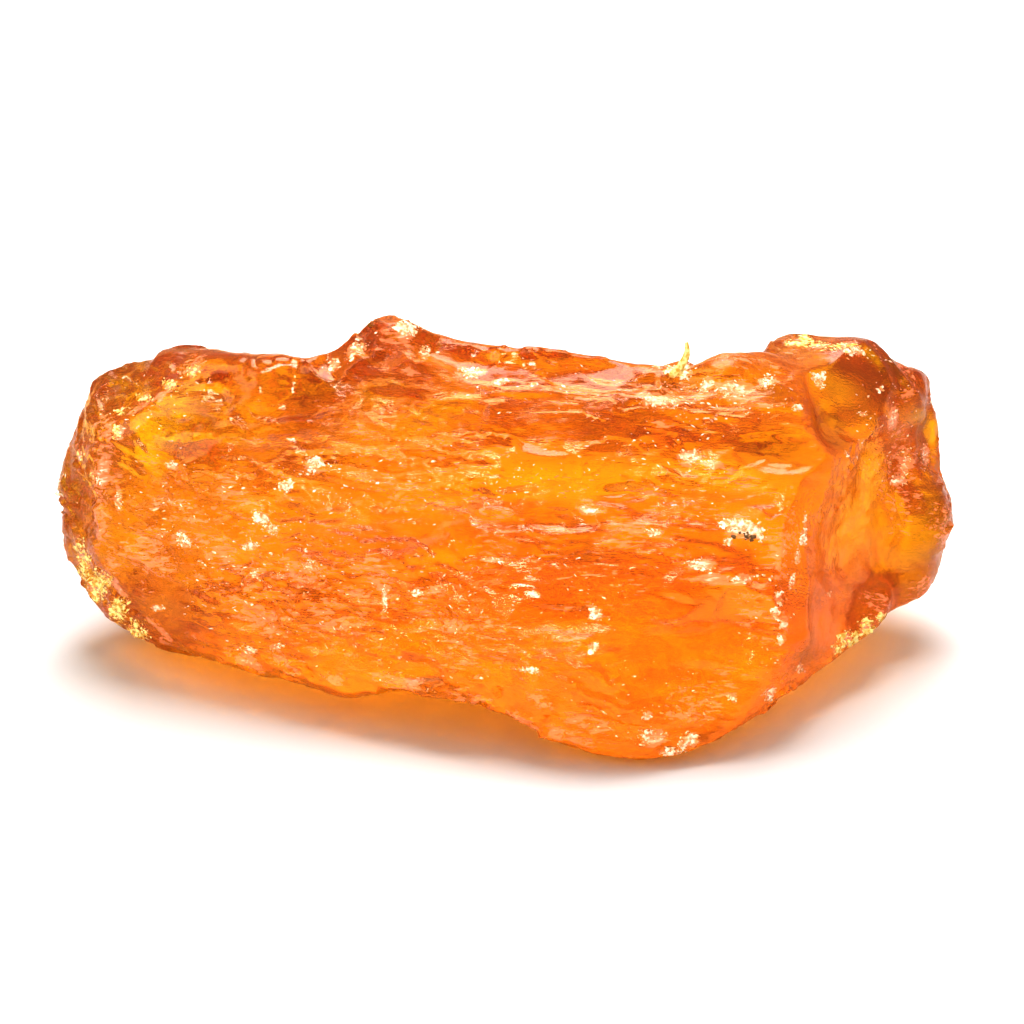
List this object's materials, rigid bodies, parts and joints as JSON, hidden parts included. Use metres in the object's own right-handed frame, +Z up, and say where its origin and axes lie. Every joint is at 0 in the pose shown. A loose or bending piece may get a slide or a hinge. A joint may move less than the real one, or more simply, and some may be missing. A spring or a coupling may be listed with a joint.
{
  "type": "raw amber piece",
  "caption": "Rough lump of clear orange amber, longer than wide, with a broad ribbed front face, shell-shaped breaks and a flat underside that it rests on.",
  "frame": {"origin": "on the resting face, under the middle of the lump's bounding box", "axes": "+X along the lump to the right seen from its broad front face, +Y from the front face to the back, +Z up from the resting face"},
  "size_m": [0.063, 0.0308, 0.025],
  "materials": {
    "amber": "clear orange fossil resin, glossy on fresh breaks and satin on the weathered ribs",
    "crust": "pale crumbly weathering crust, matt"
  },
  "bodies": {
    "root": {"raw_amber": "amber"}
  },
  "joints": []
}
